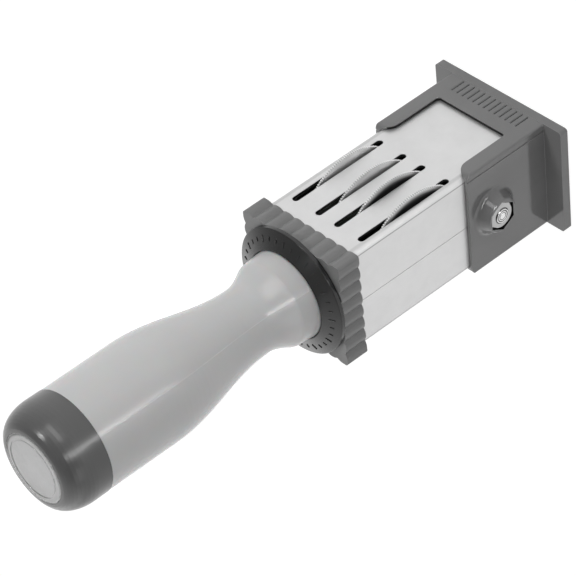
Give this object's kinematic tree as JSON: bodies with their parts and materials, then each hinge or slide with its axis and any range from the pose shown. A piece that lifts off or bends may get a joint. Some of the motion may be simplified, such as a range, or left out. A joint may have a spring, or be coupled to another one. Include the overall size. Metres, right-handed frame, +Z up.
{
  "type": "date stamp",
  "caption": "Press-down date stamp: a slotted metal casing with turning date wheels slides in a sprung plastic guide foot, under a round waisted handle with a domed end cap.",
  "frame": {"origin": "centre of the foot's underside, on the paper", "axes": "+Z up the handle, -Y to the face with the four slots, +X to the right of that face"},
  "size_m": [0.0496, 0.0404, 0.1796],
  "materials": {
    "foot_plastic": "satin",
    "steel": "satin",
    "nut_steel": "polished",
    "spring_wire": "satin",
    "casing_metal": "brushed",
    "collar_plastic": "satin",
    "ring_plastic": "satin",
    "grip_plastic": "gloss",
    "cap_plastic": "gloss",
    "lens_clear": "clear",
    "label_paper": "matte",
    "plate_steel": "satin",
    "leaf_brass": "satin",
    "pad_rubber": "matte",
    "hub_plastic": "matte",
    "band_rubber": "matte",
    "wheel_metal": "bright"
  },
  "bodies": {
    "foot": {"foot_frame": "foot_plastic", "guide_bolt_left": "steel", "guide_bolt_right": "steel", "guide_nut_left": "nut_steel", "guide_nut_right": "nut_steel", "return_spring_front": "spring_wire", "return_spring_back": "spring_wire"},
    "plunger": {"casing_front": "casing_metal", "casing_back": "casing_metal", "collar": "collar_plastic", "lock_ring": "ring_plastic", "handle_grip": "grip_plastic", "handle_cap": "cap_plastic", "cap_lens": "lens_clear", "cap_disc": "label_paper", "handle_stud": "steel", "stud_nut": "steel", "stud_washer": "steel", "top_bridge": "plate_steel", "bridge_screws": "steel", "side_plate_left": "plate_steel", "side_plate_right": "plate_steel", "tie_bar": "plate_steel", "detent_comb": "leaf_brass", "platen": "plate_steel", "platen_pad": "pad_rubber", "wheel_axle": "steel", "axle_clip_left": "steel", "axle_clip_right": "steel", "axle_spacer": "hub_plastic", "spring_seat_front": "plate_steel", "spring_seat_back": "plate_steel", "date_band_1": "band_rubber", "date_band_2": "band_rubber", "date_band_3": "band_rubber", "date_band_4": "band_rubber"},
    "wheel_1": {"wheel_disc_1": "wheel_metal", "wheel_hub_1": "hub_plastic"},
    "wheel_2": {"wheel_disc_2": "wheel_metal", "wheel_hub_2": "hub_plastic"},
    "wheel_3": {"wheel_disc_3": "wheel_metal", "wheel_hub_3": "hub_plastic"},
    "wheel_4": {"wheel_disc_4": "wheel_metal", "wheel_hub_4": "hub_plastic"}
  },
  "joints": [
    {"name": "press", "type": "slide", "parent": "foot", "child": "plunger", "axis": [0, 0, 1], "range_m": [-0.004, 0], "stiffness_N_per_m": 2500, "springref_m": 0.004, "deforming": ["return_spring_front", "return_spring_back"]},
    {"name": "turn_1", "type": "hinge", "parent": "plunger", "child": "wheel_1", "pos_m": [0, -0.001, 0.0505], "axis": [1, 0, 0], "continuous": true},
    {"name": "turn_2", "type": "hinge", "parent": "plunger", "child": "wheel_2", "pos_m": [0, -0.001, 0.0505], "axis": [1, 0, 0], "continuous": true},
    {"name": "turn_3", "type": "hinge", "parent": "plunger", "child": "wheel_3", "pos_m": [0, -0.001, 0.0505], "axis": [1, 0, 0], "continuous": true},
    {"name": "turn_4", "type": "hinge", "parent": "plunger", "child": "wheel_4", "pos_m": [0, -0.001, 0.0505], "axis": [1, 0, 0], "continuous": true}
  ]
}
